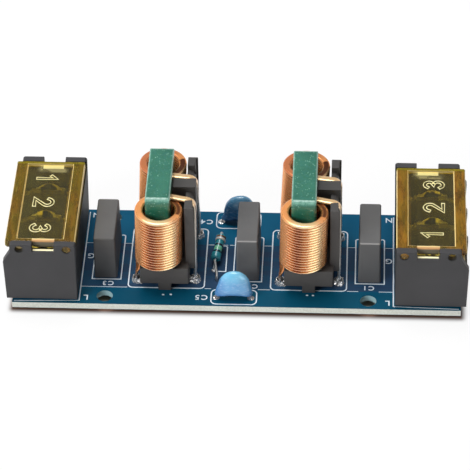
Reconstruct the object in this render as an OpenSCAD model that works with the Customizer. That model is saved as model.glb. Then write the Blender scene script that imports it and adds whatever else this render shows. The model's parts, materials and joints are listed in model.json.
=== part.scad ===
// Mains line filter on a small circuit board: two terminal blocks with hinged covers,
// two common mode chokes with flat wire windings, three box capacitors, two disc
// capacitors and one resistor. Millimetres, +Z up, origin under the middle of the board
// in the plane where the trimmed leads stand.

/* [Board] */
// Length of the board
board_l = 100; // [97:0.5:110]
// Width of the board
board_w = 32.4; // [32:0.1:38]
// Thickness of the board
board_t = 1.6; // [1:0.1:2.4]
// Length of each trimmed lead below the board
lead_stub = 1.5; // [1.2:0.1:2.5]
// Clearance round a lead in its hole
lead_gap = 0.1; // [0.05:0.05:0.2]
// Diameter of a mounting hole
mount_d = 3.65; // [3:0.05:4]
// Distance from the board's end to a mounting hole
mount_end = 20.55; // [19:0.05:22]
// Distance from the board's long edge to a mounting hole
mount_edge = 2.65; // [2.5:0.05:3.5]

/* [Solder] */
// Height of a solder fillet
solder_h = 1; // [0.6:0.1:1.1]
// Reach of a solder fillet past the hole
solder_rim = 0.4; // [0.3:0.05:0.6]
// Thickness of a solder fillet at its tip
solder_tip = 0.15; // [0.1:0.05:0.3]
// Clearance between a lead and its solder
solder_gap = 0.03; // [0.02:0.01:0.05]

/* [Terminal block] */
// Number of poles
poles = 3; // [2:1:3]
// Distance between poles
pole_pitch = 9.5; // [9.5:0.1:10.2]
// Thickness of a barrier between poles
barrier_t = 1.6; // [1.2:0.1:1.8]
// Thickness of an end wall
end_wall = 1.6; // [1.4:0.1:2.2]
// Room between an end wall and the pole pitch beside it
end_room = 0.45; // [0.3:0.05:0.8]
// Depth of the block at its foot
block_d = 15.85; // [15.5:0.05:17]
// Height of the block without its feet
block_h = 15.7; // [15.5:0.1:17]
// Height of the feet that hold the block off the board
block_lift = 0.5; // [0.3:0.1:1]
// Diameter of a block foot
foot_d = 2; // [1.5:0.1:2.5]
// Reach of the block past the end of the board
block_overhang = 1.2; // [0.5:0.1:2]
// Lean of the inner face outwards from foot to top
inner_lean = 0.3; // [0:0.05:0.4]
// Thickness of the inner wall
inner_wall = 1.5; // [1.2:0.1:1.8]
// Height of the wire floor above the underside
floor_h = 6.3; // [5.5:0.1:6.5]
// Height of the outer lip above the underside
lip_h = 10.7; // [10:0.1:11]
// Reach of the outer lip past the foot
lip_out = 0.2; // [0:0.05:0.4]
// Step in from the foot to the top of an end wall
shoulder_in = 1.5; // [1.3:0.1:1.7]
// Rise of the sloped shoulder above the lip
shoulder_rise = 3; // [2.5:0.1:3.2]
// Width of the finger notch in an end wall
notch_w = 4.9; // [4:0.1:5.5]
// Depth of the finger notch in an end wall
notch_depth = 2; // [1.8:0.1:2.4]
// Radius of the end walls' upper corners
corner_r = 0.6; // [0.3:0.1:0.8]

/* [Cover] */
// Thickness of the cover's rim
cover_t = 1.3; // [1.1:0.1:1.4]
// Depth of the panel sunk in the cover's top
panel_depth = 0.5; // [0.3:0.1:0.6]
// Width of the rim beside the panel
rim_side = 2.55; // [2.2:0.05:2.8]
// Width of the rim at the panel's ends
rim_end = 0.85; // [0.6:0.05:1.2]
// Drop of the cover's top below the end walls
cover_drop = 0.1; // [0:0.05:0.2]
// Clearance between the cover and each end wall
cover_gap = 0.1; // [0.1:0.05:0.2]
// Reach of the cover past the end walls' outer edge
cover_out = 1.15; // [1:0.05:1.3]
// Depth of the skirts below the rim
skirt_depth = 0.65; // [0.5:0.05:0.7]
// Radius of the cover's inner upper edge
cover_r = 0.45; // [0.4:0.05:0.6]
// Distance between the hinge hole and the spare hole
hole_spacing = 10.45; // [10.2:0.05:10.7]
// Depth of the hinge axis below the end wall's top
hinge_drop = 1.3; // [1.25:0.05:1.4]
// Diameter of a hinge peg
peg_d = 1.8; // [1.6:0.05:1.9]
// Length of a hinge peg
peg_l = 1.45; // [1.2:0.05:1.5]
// Running clearance round a hinge peg
peg_gap = 0.06; // [0.03:0.01:0.1]
// Clearance round the cover's inner edge as it turns
swing_gap = 0.15; // [0.1:0.05:0.25]

/* [Terminal] */
// Distance from the block's inner face to a screw
screw_in = 8.25; // [8:0.05:8.6]
// Diameter of a screw
screw_d = 3.5; // [3:0.1:3.6]
// Length of a screw below its head
screw_l = 5.2; // [4.5:0.1:5.4]
// Diameter of a screw head
head_d = 5.8; // [5.2:0.1:6.4]
// Height of a screw head
head_h = 2.4; // [1.8:0.1:2.5]
// Running clearance between a screw and its thread
thread_gap = 0.05; // [0.03:0.01:0.1]
// Thickness of a contact
contact_t = 0.8; // [0.6:0.1:1]
// Clearance between a contact and its barriers
contact_gap = 0.4; // [0.3:0.05:0.6]
// Width of a contact pin
pin_w = 1; // [0.8:0.1:1.2]
// Thickness of a clamp plate
clamp_t = 1.1; // [0.9:0.1:1.2]
// Side of a clamp plate
clamp_w = 7; // [6.6:0.1:7.2]
// Clearance between a clamp plate's hole and the screw
clamp_gap = 0.25; // [0.2:0.05:0.4]

/* [Choke] */
// Share of the way from the board's middle to a terminal block at which a choke stands
choke_share = 0.4555; // [0.45:0.0005:0.465]
// Width of the core across the board's length
core_w = 5.5; // [5:0.1:5.8]
// Length of the core along its windings' centres
core_l = 18.8; // [18.4:0.1:19.2]
// Height of the core
core_h = 21.2; // [20.4:0.1:21.8]
// Thickness of the core's bar
core_bar = 3.2; // [3:0.1:3.3]
// Offset of the core from the base's middle
core_x = -1.15; // [-1.3:0.05:-0.8]
// Height of the core above the board
core_z = 3.5; // [3.3:0.1:3.8]
// Rounding of the core's outer edges
core_r = 1.2; // [0.8:0.1:1.4]
// Clearance round the core in its base
core_gap = 0.15; // [0.1:0.05:0.3]

/* [Winding] */
// Clearance between the corners of a core leg and the winding round it
leg_gap = 0.35; // [0.3:0.05:0.5]
// Width of the flat wire
wire_w = 1.58; // [1.3:0.01:1.65]
// Thickness of the flat wire
wire_t = 0.6; // [0.5:0.02:0.62]
// Full turns of a winding
coil_turns = 19; // [17:1:19]
// Clearance between a winding and the core bar above it
coil_top_gap = 0.1; // [0.1:0.05:0.3]
// Clearance between a winding and the base below it
coil_low_gap = 0.4; // [0.2:0.05:0.6]
// Offset of a winding past its core leg's middle
coil_shift = 0.35; // [0.1:0.05:0.4]
// Lean of a winding
coil_lean = 1.5; // [0:0.1:2]
// Facets in one turn
coil_facets = 18; // [12:2:20]
// Direction in which a winding's lower end leaves
coil_start = 150; // [145:1:155]
// Radius of the wire's bend over the wall
wire_bend = 1.8; // [1.4:0.1:2]
// Straight stretch of the wire below its bend over the wall
wire_straight = 2; // [1:0.1:3]
// Radius of the wire's bend down to the board
wire_drop_bend = 0.9; // [0.7:0.1:1.1]
// Clearance between the wire and the base
wire_gap = 0.1; // [0.1:0.05:0.3]

/* [Choke base] */
// Width of the tray
tray_w = 11; // [10.8:0.1:11.2]
// Length of the tray
tray_l = 22.6; // [22:0.1:24]
// Height of the tray's top above the board
tray_top = 6.4; // [6:0.1:6.6]
// Height of the tray's underside above the board
tray_low = 1.95; // [1.5:0.05:2.2]
// Width of a tray foot
tray_foot = 2.9; // [2:0.1:4]
// Thickness of the wall beside the windings
wall_t = 2.2; // [1.8:0.1:2.4]
// Clearance between the wall and the windings
wall_gap = 0.5; // [0.3:0.05:0.6]
// Length of the wall
wall_l = 18; // [17:0.2:19]
// Height of the wall's underside above the board
wall_low = 4.6; // [4:0.1:5]
// Height of the wall above the windings
wall_rise = 0.7; // [0.5:0.1:1.5]
// Width of the wall's middle merlon, which runs on as the partition
merlon_w = 3.2; // [2.4:0.1:3.6]
// Width of each wire notch in the wall
wire_notch = 4.4; // [3.6:0.1:4.8]
// Depth of the channels for the outer wires in the wall's outer face
channel_depth = 0.45; // [0.2:0.05:0.8]
// Distance from the tray to where the outer wires enter the board
outer_foot = 1.2; // [1.1:0.05:1.6]
// Distance from the tray to where the inner wires enter the board
inner_foot = 0.9; // [0.85:0.05:1.2]
// Distance of the outer wires' ends from the base's middle line
outer_foot_y = 7.6; // [7.2:0.1:8.4]

/* [Box capacitor] */
// Distance from a terminal block to the middle of the capacitor beside it
cap_from_block = 5.7; // [5.2:0.05:6.2]
// Place of the middle capacitor along the board
mid_cap_x = 2.3; // [1.8:0.05:2.6]
// Width of the case at its foot
cap_w = 5.1; // [4.4:0.1:5.4]
// Length of the case
cap_l = 14.3; // [13:0.1:14.8]
// Height of the case
cap_h = 11.5; // [10:0.1:12.5]
// Narrowing of the case from foot to top
cap_draft = 0.3; // [0:0.05:0.5]
// Edge radius of the case
cap_r = 0.45; // [0.3:0.05:0.7]
// Wall thickness of the case
cap_wall = 0.7; // [0.5:0.05:0.9]
// Depth of the resin below the case's rim
resin_drop = 0.6; // [0.4:0.1:1]
// Place of the cases across the board
cap_y = -0.35; // [-1:0.05:0.5]
// Distance between a capacitor's leads
cap_pitch = 10; // [9:0.5:11]
// Diameter of round leads
lead_d = 0.6; // [0.5:0.05:0.8]

/* [Disc capacitor] */
// Diameter of the disc
disc_d = 7.4; // [6:0.1:7.5]
// Thickness of the disc at its middle
disc_t = 3.2; // [2.4:0.1:3.4]
// Diameter of the coating's foot round each lead
coat_d = 0.9; // [0.8:0.1:1.4]
// Height of the disc's top above the board
disc_top = 7.75; // [7.5:0.05:9]
// Place of the discs along the board
disc_x = -0.6; // [-0.8:0.05:0.2]
// Distance from the board's front edge to the front disc
front_disc_edge = 2.8; // [2.2:0.1:3.4]
// Distance from the board's back edge to the back disc
back_disc_edge = 3.5; // [2.6:0.1:3.8]
// Distance between a disc capacitor's leads
disc_pitch = 7.8; // [7:0.1:8.4]
// Height of the coating's lower edge above the board
coating_low = 0.5; // [0.3:0.1:1]

/* [Resistor] */
// Diameter of the resistor's end caps
res_d = 2.3; // [1.8:0.1:2.6]
// Diameter of the resistor's middle
res_mid_d = 1.9; // [1.6:0.1:2.2]
// Length of the resistor's body
res_l = 6.7; // [6:0.1:7]
// Distance between the resistor's holes
res_pitch = 12.7; // [12.2:0.1:13.5]
// Place of the resistor's front hole along the board
res_x = -4.67; // [-4.9:0.01:-4.3]
// Place of the resistor's front hole across the board
res_y = -7.63; // [-8:0.01:-7.3]
// Turn of the resistor away from the board's width
res_turn = -10; // [-12:0.5:-6]
// Rise of the resistor towards its back end
res_rise = 12; // [6:0.5:14]
// Height of the resistor's middle above the board
res_z = 2.6; // [2.2:0.1:3.2]
// Share of the holes' distance at which the resistor's middle lies
res_share = 0.65; // [0.6:0.01:0.68]

/* [Hidden] */
$fn = 48;
eps = 0.01;
deck = lead_stub + board_t;

block_l = poles * pole_pitch - barrier_t + 2 * (end_room + end_wall);
block_out = board_l / 2 + block_overhang;
block_in = block_out - block_d;
block_top = block_lift + block_h;
end_in = block_in - inner_lean;
end_out = block_out - shoulder_in;
end_mid = (end_in + end_out) / 2;
lip_z = block_lift + lip_h;
shoulder_z = lip_z + shoulder_rise;
floor_z = block_lift + floor_h;
bay_in = end_in + inner_wall;
bay_w = pole_pitch - barrier_t;
room_l = block_l - 2 * end_wall;

hinge_x = end_mid - hole_spacing / 2;
hinge_z = block_top - hinge_drop;
spare_x = end_mid + hole_spacing / 2;
cover_l = room_l - 2 * cover_gap;
cover_top = block_top - cover_drop;
cover_low = cover_top - cover_t;
skirt_z = cover_low - skirt_depth;
cover_in = end_in + inner_lean;
cover_outer = end_out + cover_out;
cover_corner = [cover_in + cover_r - hinge_x, cover_top - cover_r - hinge_z];
swing_r = norm(cover_corner) + cover_r + swing_gap;
barrier_z = cover_low - swing_gap;

screw_x = block_in + screw_in;
screw_z = floor_z + contact_t + clamp_t;
contact_in = bay_in + contact_gap;
contact_out = block_out - contact_gap;
contact_w = bay_w - 2 * contact_gap;
pin_x = contact_in + contact_t / 2;

cap_x = block_in - cap_from_block;
choke_x = block_in * choke_share;
coil_y = (core_l - core_bar) / 2 + coil_shift;
leg_r = norm([core_w / 2, core_bar / 2 + coil_shift]);
coil_r = leg_r + leg_gap + wire_w / 2;
coil_od = 2 * coil_r + wire_w;
coil_low = tray_top + coil_low_gap + wire_t / 2;
coil_high = core_z + core_h - core_bar - coil_top_gap - wire_t / 2;
coil_top = coil_high + wire_t / 2;
wall_in = core_x + coil_od / 2 + wall_gap;
wall_out = wall_in + wall_t;
wall_top = coil_top + wall_rise;
notch_z = coil_top - wire_t - wire_gap;
channel_x = wall_out - channel_depth;
channel_end = outer_foot_y + wire_w / 2 + 2 * wire_gap;
wire_x = channel_x + wire_gap + wire_t / 2;
wire_y = -coil_y + coil_r;
outer_foot_x = tray_w / 2 + outer_foot;
inner_foot_x = -tray_w / 2 - inner_foot;

sweep_a = 360 * coil_turns + coil_start - 90;
sweep_steps = ceil(sweep_a * coil_facets / 360);
leave = [-sin(coil_start), cos(coil_start), 0];
up = [0, 0, 1];
coil_first = turn_ring(0)[0];
inner_foot_y = coil_first[1] + leave[1] * (inner_foot_x - coil_first[0]) / leave[0];

res_dir = [-sin(res_turn) * cos(res_rise), cos(res_turn) * cos(res_rise), sin(res_rise)];
res_mid = [res_x - sin(res_turn) * res_l / 20, res_y + res_pitch * res_share, res_z];
res_front = res_mid - res_dir * res_l / 2;
res_back = res_mid + res_dir * res_l / 2;

sides = ["left", "right"];
places = ["left", "middle", "right"];
ends = ["front", "back"];

function pole_y(i) = (i - (poles + 1) / 2) * pole_pitch;
function side_turn(side) = side == "left" ? 180 : 0;
function side_sign(side) = side == "left" ? -1 : 1;
function place_x(place) = place == "left" ? -cap_x : place == "right" ? cap_x : mid_cap_x;
function disc_y(end) = end == "front" ? front_disc_edge - board_w / 2 : board_w / 2 - back_disc_edge;
function arc(centre, r, a0, a1, n = 6) =
    [for (i = [0:n]) let (a = a0 + (a1 - a0) * i / n) centre + r * [cos(a), sin(a)]];
function round_rect(w, h, r, n = 5) = concat(
    arc([w / 2 - r, h / 2 - r], r, 0, 90, n), arc([r - w / 2, h / 2 - r], r, 90, 180, n),
    arc([r - w / 2, r - h / 2], r, 180, 270, n), arc([w / 2 - r, r - h / 2], r, 270, 360, n));
function hole_for(w, t) = norm([w, t]) + 2 * lead_gap;

// Holes for leads as [x, y, diameter]
pin_hole = hole_for(pin_w, contact_t);
wire_hole = hole_for(wire_w, wire_t);
lead_hole = lead_d + 2 * lead_gap;
pin_holes = [for (s = [-1, 1], i = [1:poles]) [s * pin_x, pole_y(i), pin_hole]];
wire_feet = [[outer_foot_x, outer_foot_y], [inner_foot_x, -inner_foot_y]];
wire_holes = [for (s = [-1, 1], e = [-1, 1], p = wire_feet) [s * choke_x + p[0], e * p[1], wire_hole]];
cap_holes = [for (place = places, e = [-1, 1]) [place_x(place), cap_y + e * cap_pitch / 2, lead_hole]];
disc_holes = [for (end = ends, e = [-1, 1]) [disc_x + e * disc_pitch / 2, disc_y(end), lead_hole]];
res_holes = [for (e = [0, 1]) [e == 0 ? res_x : res_back[0], res_y + e * res_pitch, lead_hole]];
lead_holes = concat(pin_holes, wire_holes, cap_holes, disc_holes, res_holes);

// Turns of a winding: rings of [place, direction across, direction up]
function turn_x(z) = core_x + (z - (coil_low + coil_high) / 2) * tan(coil_lean);
function turn_ring(i) =
    let (a = coil_start - sweep_a * i / sweep_steps, z = coil_low + (coil_high - coil_low) * i / sweep_steps)
    [[turn_x(z) + coil_r * cos(a), coil_r * sin(a) - coil_y, z], [cos(a), sin(a), 0], up];

// Lower end: up from the board, then level into the first turn
function lower_ring(a) =
    let (centre = [inner_foot_x, inner_foot_y, coil_low - wire_drop_bend] - leave * wire_drop_bend)
    [centre + (leave * cos(a) + up * sin(a)) * wire_drop_bend,
        [cos(coil_start), sin(coil_start), 0], leave * cos(a) + up * sin(a)];

// Upper end: level through the notch, over the wall's edge and down its outer face
function upper_ring(a) =
    [[wire_x - wire_bend + wire_bend * sin(a), wire_y, coil_high - wire_bend + wire_bend * cos(a)],
        [0, 1, 0], [sin(a), 0, cos(a)]];
slant_high = coil_high - wire_bend - wire_straight;
slant_low = wall_low + wire_t;
slant = atan((outer_foot_y + wire_y) / (slant_high - slant_low));
outward = [1, 0, 0];
winding_rings = concat(
    [[[inner_foot_x, inner_foot_y, -deck], lower_ring(0)[1], leave]],
    [for (a = [0:30:90]) lower_ring(a)],
    [for (i = [0:sweep_steps]) turn_ring(i)],
    [for (a = [0:22.5:90]) upper_ring(a)],
    [[[wire_x, wire_y, slant_high], [0, cos(slant / 2), -sin(slant / 2)], outward],
        [[wire_x, -outer_foot_y, slant_low], [0, cos(slant / 2), -sin(slant / 2)], outward],
        [[outer_foot_x, -outer_foot_y, slant_low / 2], [0, 1, 0], outward],
        [[outer_foot_x, -outer_foot_y, -deck], [0, 1, 0], outward]]
);

module on_board() translate([0, 0, deck]) children();

module ring_sweep(rings, w, t) {
    corners = [[-1, -1], [1, -1], [1, 1], [-1, 1]];
    last = 4 * (len(rings) - 1);
    points = [for (r = rings, c = corners) r[0] + r[1] * c[0] * w / 2 + r[2] * c[1] * t / 2];
    skin = [for (i = [0:len(rings) - 2], j = [0:3]) let (a = 4 * i + j, b = 4 * i + (j + 1) % 4)
        each [[a, b + 4, b], [a, a + 4, b + 4]]];
    polyhedron(points, concat([[0, 1, 2, 3]], skin, [[last + 3, last + 2, last + 1, last]]));
}

module along_y(l) rotate([90, 0, 0]) linear_extrude(l, center = true) children();

// Round wire through points that lie near one plane across the board
module wire(points, d, n = 12) {
    last = len(points) - 1;
    rings = [for (i = [0:last])
        let (v = points[min(i + 1, last)] - points[max(i - 1, 0)], f = v / norm(v),
            s = cross(f, [1, 0, 0]) / norm(cross(f, [1, 0, 0])), t = cross(s, f))
        for (j = [0:n - 1]) points[i] + d / 2 * (cos(360 * j / n) * t + sin(360 * j / n) * s)];
    skin = [for (i = [0:last - 1], j = [0:n - 1]) let (a = n * i + j, b = n * i + (j + 1) % n)
        each [[a, b, b + n], [a, b + n, a + n]]];
    polyhedron(rings, concat([[for (j = [0:n - 1]) n - 1 - j]], skin, [[for (j = [0:n - 1]) n * last + j]]));
}

module pcb() {
    color([0.1, 0.25, 0.4]) translate([0, 0, lead_stub]) difference() {
        translate([-board_l / 2, -board_w / 2, 0]) cube([board_l, board_w, board_t]);
        for (x = [-1, 1], y = [-1, 1])
            translate([x * (board_l / 2 - mount_end), y * (board_w / 2 - mount_edge), -1])
                cylinder(h = board_t + 2, d = mount_d);
        for (h = lead_holes) translate([h[0], h[1], -1]) cylinder(h = board_t + 2, d = h[2], $fn = 24);
    }
}

// A ring of solder round one lead, widest at the board
module fillet_ring(hole) {
    inner = hole / 2 - lead_gap + solder_gap;
    outer = hole / 2 + solder_rim;
    rotate_extrude($fn = 24)
        polygon([[inner, 0], [outer, 0], [inner + solder_tip, solder_h], [inner, solder_h]]);
}

module solder_joints() {
    color([0.8, 0.8, 0.82]) {
        for (h = lead_holes) translate([h[0], h[1], lead_stub]) mirror([0, 0, 1]) fillet_ring(h[2]);
        for (h = wire_holes) translate([h[0], h[1], deck]) fillet_ring(h[2]);
    }
}

module block(side) {
    outline = concat(
        [[block_in, block_lift], [block_out, block_lift], [block_out + lip_out, lip_z],
            [end_out, shoulder_z]],
        arc([end_out - corner_r, block_top - corner_r], corner_r, 0, 90),
        arc([end_in + corner_r, block_top - corner_r], corner_r, 90, 180));
    deep = block_d * 2;
    color([0.24, 0.24, 0.25]) on_board() rotate([0, 0, side_turn(side)]) {
        difference() {
            along_y(block_l) polygon(outline);
            for (i = [1:poles]) bay(i, deep);
            translate([end_in - 1, -room_l / 2, barrier_z]) cube([deep, room_l, block_h]);
            translate([cover_outer - rim_side - swing_gap, -room_l / 2, skirt_z - swing_gap])
                cube([deep, room_l, block_h]);
            translate([hinge_x, 0, hinge_z]) rotate([90, 0, 0])
                cylinder(h = room_l, r = swing_r, center = true);
            for (x = [hinge_x, spare_x]) translate([x, 0, hinge_z]) rotate([90, 0, 0])
                cylinder(h = block_l + 2, d = peg_d + 2 * peg_gap, center = true);
            translate([end_mid - notch_w / 2, -block_l, block_top - notch_depth])
                cube([notch_w, 2 * block_l, block_h]);
        }
        for (x = [block_in + foot_d, board_l / 2 - foot_d], y = [-1, 1])
            translate([x, y * (block_l / 2 - foot_d), 0]) cylinder(h = block_lift + eps, d = foot_d);
    }
}

// Room of one pole: open above and outwards, with a slot for the pin and a well for the screw
module bay(i, deep) {
    front = i == 1 ? -room_l / 2 : pole_y(i) - bay_w / 2;
    back = i == poles ? room_l / 2 : pole_y(i) + bay_w / 2;
    translate([bay_in, front, floor_z]) cube([deep, back - front, block_h]);
    translate([pin_x - contact_t / 2 - lead_gap, pole_y(i) - pin_w / 2 - lead_gap, 0])
        cube([contact_t + 2 * lead_gap, pin_w + 2 * lead_gap, block_h]);
    translate([screw_x, pole_y(i), screw_z - screw_l - clamp_gap])
        cylinder(h = block_h, d = screw_d + 2 * clamp_gap);
}

module cover(side) {
    section = concat(
        arc([cover_in + cover_r, cover_top - cover_r], cover_r, 180, 90),
        arc([cover_outer - cover_r, cover_top - cover_r], cover_r, 90, 0),
        [[cover_outer, skirt_z + cover_r], [cover_outer - cover_r, skirt_z],
            [cover_outer - rim_side + skirt_depth, skirt_z], [cover_outer - rim_side, cover_low],
            [cover_in + rim_side + cover_r, cover_low], [cover_in + rim_side + cover_r, skirt_z],
            [cover_in + cover_r, skirt_z], [cover_in, skirt_z + cover_r]]);
    color([0.75, 0.55, 0.1, 0.6]) on_board() rotate([0, 0, side_turn(side)]) {
        difference() {
            along_y(cover_l) polygon(section);
            translate([cover_in + rim_side, rim_end - cover_l / 2, cover_top - panel_depth])
                cube([cover_outer - cover_in - 2 * rim_side, cover_l - 2 * rim_end, cover_t]);
        }
        for (y = [-1, 1]) translate([hinge_x, y * (cover_l / 2 + peg_l / 2 - eps), hinge_z])
            rotate([90, 0, 0]) cylinder(h = peg_l, d = peg_d, center = true);
    }
}

module contact(side, i) {
    color([0.8, 0.78, 0.7]) on_board() rotate([0, 0, side_turn(side)]) difference() {
        union() {
            translate([contact_in, pole_y(i) - contact_w / 2, floor_z])
                cube([contact_out - contact_in, contact_w, contact_t]);
            translate([pin_x - contact_t / 2, pole_y(i) - pin_w / 2, -deck])
                cube([contact_t, pin_w, deck + floor_z + contact_t]);
        }
        translate([screw_x, pole_y(i), floor_z - 1])
            cylinder(h = contact_t + 2, d = screw_d + 2 * thread_gap);
    }
}

module clamp(side, i) {
    color([0.75, 0.75, 0.77]) on_board() rotate([0, 0, side_turn(side)])
        translate([screw_x, pole_y(i), floor_z + contact_t]) difference() {
            linear_extrude(clamp_t) polygon(round_rect(clamp_w, clamp_w, clamp_t / 2));
            translate([0, 0, -1]) cylinder(h = clamp_t + 2, d = screw_d + 2 * clamp_gap);
        }
}

module screw(side, i) {
    tip = 0.4;
    dome = head_h / 3;
    drive_w = 0.9;
    drive_l = 3.8;
    color([0.7, 0.7, 0.72]) on_board() rotate([0, 0, side_turn(side)])
        translate([screw_x, pole_y(i), screw_z]) difference() {
            rotate_extrude() polygon([[0, -screw_l], [screw_d / 2 - tip, -screw_l],
                [screw_d / 2, tip - screw_l], [screw_d / 2, 0], [head_d / 2, 0], [head_d / 2, head_h - dome],
                [head_d / 2 - dome, head_h], [0, head_h]]);
            for (a = [0, 90]) rotate([0, 0, a]) translate([-drive_l / 2, -drive_w / 2, head_h / 3])
                cube([drive_l, drive_w, head_h]);
        }
}

module core(side) {
    window_r = core_r / 2;
    color([0.15, 0.5, 0.4]) on_board() translate([side_sign(side) * choke_x + core_x, 0, core_z + core_h / 2])
        difference() {
            intersection() {
                rotate([90, 0, 90]) linear_extrude(core_w, center = true)
                    polygon(round_rect(core_l, core_h, core_r));
                along_y(core_l) polygon(round_rect(core_w, core_h, core_r / 2));
                linear_extrude(core_h, center = true) polygon(round_rect(core_w, core_l, core_r / 2));
            }
            rotate([90, 0, 90]) linear_extrude(core_w + 2, center = true)
                polygon(round_rect(core_l - 2 * core_bar, core_h - 2 * core_bar, window_r));
        }
}

module coil(side, end) {
    color([0.85, 0.5, 0.3]) on_board() translate([side_sign(side) * choke_x, 0, 0])
        mirror([0, end == "back" ? 1 : 0, 0]) ring_sweep(winding_rings, wire_w, wire_t);
}

// Tray under the core, with a castellated wall and a partition in the core's window
module choke_base(side) {
    pocket = [core_w + 2 * core_gap, core_l + 2 * core_gap];
    pocket_z = core_z - core_gap;
    bar_top = core_z + core_bar + core_gap;
    bend_room = wire_bend - wire_t / 2 - wire_gap;
    notch_mid = merlon_w / 2 + wire_notch / 2;
    color([0.2, 0.2, 0.21]) on_board() translate([side_sign(side) * choke_x, 0, 0]) {
        difference() {
            union() {
                translate([0, 0, tray_low]) linear_extrude(tray_top - tray_low)
                    polygon(round_rect(tray_w, tray_l, 0.4));
                for (y = [-1, 1]) translate([-tray_foot / 2, y * (tray_l - tray_foot) / 2 - tray_foot / 2, 0])
                    cube([tray_foot, tray_foot, tray_low + eps]);
                translate([wall_in, -wall_l / 2, wall_low]) cube([wall_t, wall_l, wall_top - wall_low]);
            }
            translate([core_x - pocket[0] / 2, -pocket[1] / 2, pocket_z])
                cube([pocket[0], pocket[1], core_h]);
            for (y = [merlon_w / 2, -channel_end]) translate([channel_x, y, 0])
                cube([wall_t, channel_end - merlon_w / 2, wall_top + 1]);
            for (y = [-1, 1]) translate([wall_in - 1, y * notch_mid - wire_notch / 2, notch_z])
                cube([wall_t + 2, wire_notch, wall_top]);
            for (y = [-1, 1]) translate([0, y * notch_mid, 0]) difference() {
                translate([wire_x - wire_bend, -wire_notch / 2, coil_high - wire_bend])
                    cube([wire_bend + 1, wire_notch, wire_bend]);
                translate([wire_x - wire_bend, 0, coil_high - wire_bend]) rotate([90, 0, 0])
                    cylinder(h = wire_notch + 1, r = bend_room, center = true);
            }
        }
        translate([core_x - core_w / 2, -merlon_w / 2, bar_top])
            cube([wall_in + eps - core_x + core_w / 2, merlon_w, coil_top - bar_top]);
        translate([core_x + core_w / 2 + core_gap, -merlon_w / 2, bar_top])
            cube([wall_in + eps - core_x - core_w / 2 - core_gap, merlon_w, wall_top - bar_top]);
    }
}

// Box with rounded upper edges, a little narrower above than below
module moulded_box(w, l, h, draft, r) hull() {
    for (x = [-1, 1], y = [-1, 1]) {
        translate([x * (w / 2 - r), y * (l / 2 - r), 0]) cylinder(h = 0.1, r = r, $fn = 16);
        translate([x * (w / 2 - draft / 2 - r), y * (l / 2 - draft / 2 - r), h - r]) sphere(r = r, $fn = 16);
    }
}

module cap_case(place) {
    color([0.42, 0.42, 0.42]) on_board() translate([place_x(place), cap_y, 0]) difference() {
        moulded_box(cap_w, cap_l, cap_h, cap_draft, cap_r);
        translate([cap_wall - cap_w / 2, cap_wall - cap_l / 2, -1])
            cube([cap_w - 2 * cap_wall, cap_l - 2 * cap_wall, cap_h + 1 - cap_wall - cap_draft]);
    }
}

module cap_resin(place) {
    color([0.5, 0.45, 0.3]) on_board() translate([place_x(place), cap_y, resin_drop])
        translate([cap_wall - cap_w / 2, cap_wall - cap_l / 2, 0])
            cube([cap_w - 2 * cap_wall, cap_l - 2 * cap_wall, cap_h - cap_wall - cap_draft - resin_drop]);
}

module cap_leads(place) {
    color([0.75, 0.75, 0.77]) for (e = [-1, 1])
        translate([place_x(place), cap_y + e * cap_pitch / 2, 0])
            cylinder(h = deck + resin_drop, d = lead_d, $fn = 16);
}

// Dipped disc, drawn out over its two leads
module disc(end) {
    color([0.45, 0.72, 0.9]) on_board() translate([disc_x, disc_y(end), 0]) hull() {
        translate([0, 0, disc_top - disc_d / 2]) rotate([90, 0, 0]) rotate_extrude($fn = 36)
            polygon([for (a = [-90:20:90]) [disc_d / 2 * cos(a), disc_t / 2 * sin(a)]]);
        for (x = [-1, 1]) translate([x * disc_pitch / 2, 0, coating_low]) {
            cylinder(h = coat_d / 2, d = coat_d, $fn = 16);
            translate([0, 0, coat_d / 2]) sphere(d = coat_d, $fn = 16);
        }
    }
}

module disc_leads(end) {
    color([0.75, 0.75, 0.77]) for (x = [-1, 1])
        translate([disc_x + x * disc_pitch / 2, disc_y(end), 0])
            cylinder(h = deck + coating_low, d = lead_d, $fn = 16);
}

module resistor() {
    cap_l = res_l * 0.22;
    slope = (res_d - res_mid_d) / 2;
    color([0.3, 0.6, 0.6]) on_board() translate(res_mid)
        rotate([0, 0, res_turn]) rotate([res_rise - 90, 0, 0]) rotate_extrude($fn = 32)
            polygon([[0, -res_l / 2], [res_d / 2 - slope, -res_l / 2], [res_d / 2, slope - res_l / 2],
                [res_d / 2, cap_l - res_l / 2], [res_mid_d / 2, cap_l + slope - res_l / 2],
                [res_mid_d / 2, res_l / 2 - cap_l - slope], [res_d / 2, res_l / 2 - cap_l],
                [res_d / 2, res_l / 2 - slope], [res_d / 2 - slope, res_l / 2], [0, res_l / 2]]);
}

module resistor_leads() {
    knee = 0.4;
    front_hole = [res_holes[0][0], res_holes[0][1], 0];
    back_hole = [res_holes[1][0], res_holes[1][1], 0];
    res_knee = back_hole + [0, 0, res_back[2] - knee];
    color([0.75, 0.75, 0.77]) on_board() {
        wire([res_front, res_front - res_dir * knee, front_hole + [0, 0.8, 1.1], front_hole + [0, 0.3, 0.85],
            front_hole + [0, 0.07, 0.5], front_hole, front_hole - [0, 0, deck]], lead_d);
        wire([res_back, res_back + res_dir * 0.3, res_knee + [0, -0.25, 0.5], res_knee + [0, -0.05, 0.25],
            res_knee, back_hole, back_hole - [0, 0, deck]], lead_d);
    }
}

pcb();
solder_joints();
for (side = sides) {
    block(side);
    cover(side);
    for (i = [1:poles]) {
        contact(side, i);
        clamp(side, i);
        screw(side, i);
    }
    core(side);
    choke_base(side);
    coil(side, "front");
    coil(side, "back");
}
for (place = places) {
    cap_case(place);
    cap_resin(place);
    cap_leads(place);
}
for (end = ends) {
    disc(end);
    disc_leads(end);
}
resistor();
resistor_leads();
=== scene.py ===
"""Looks of a small mains line filter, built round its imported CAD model."""

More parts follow.
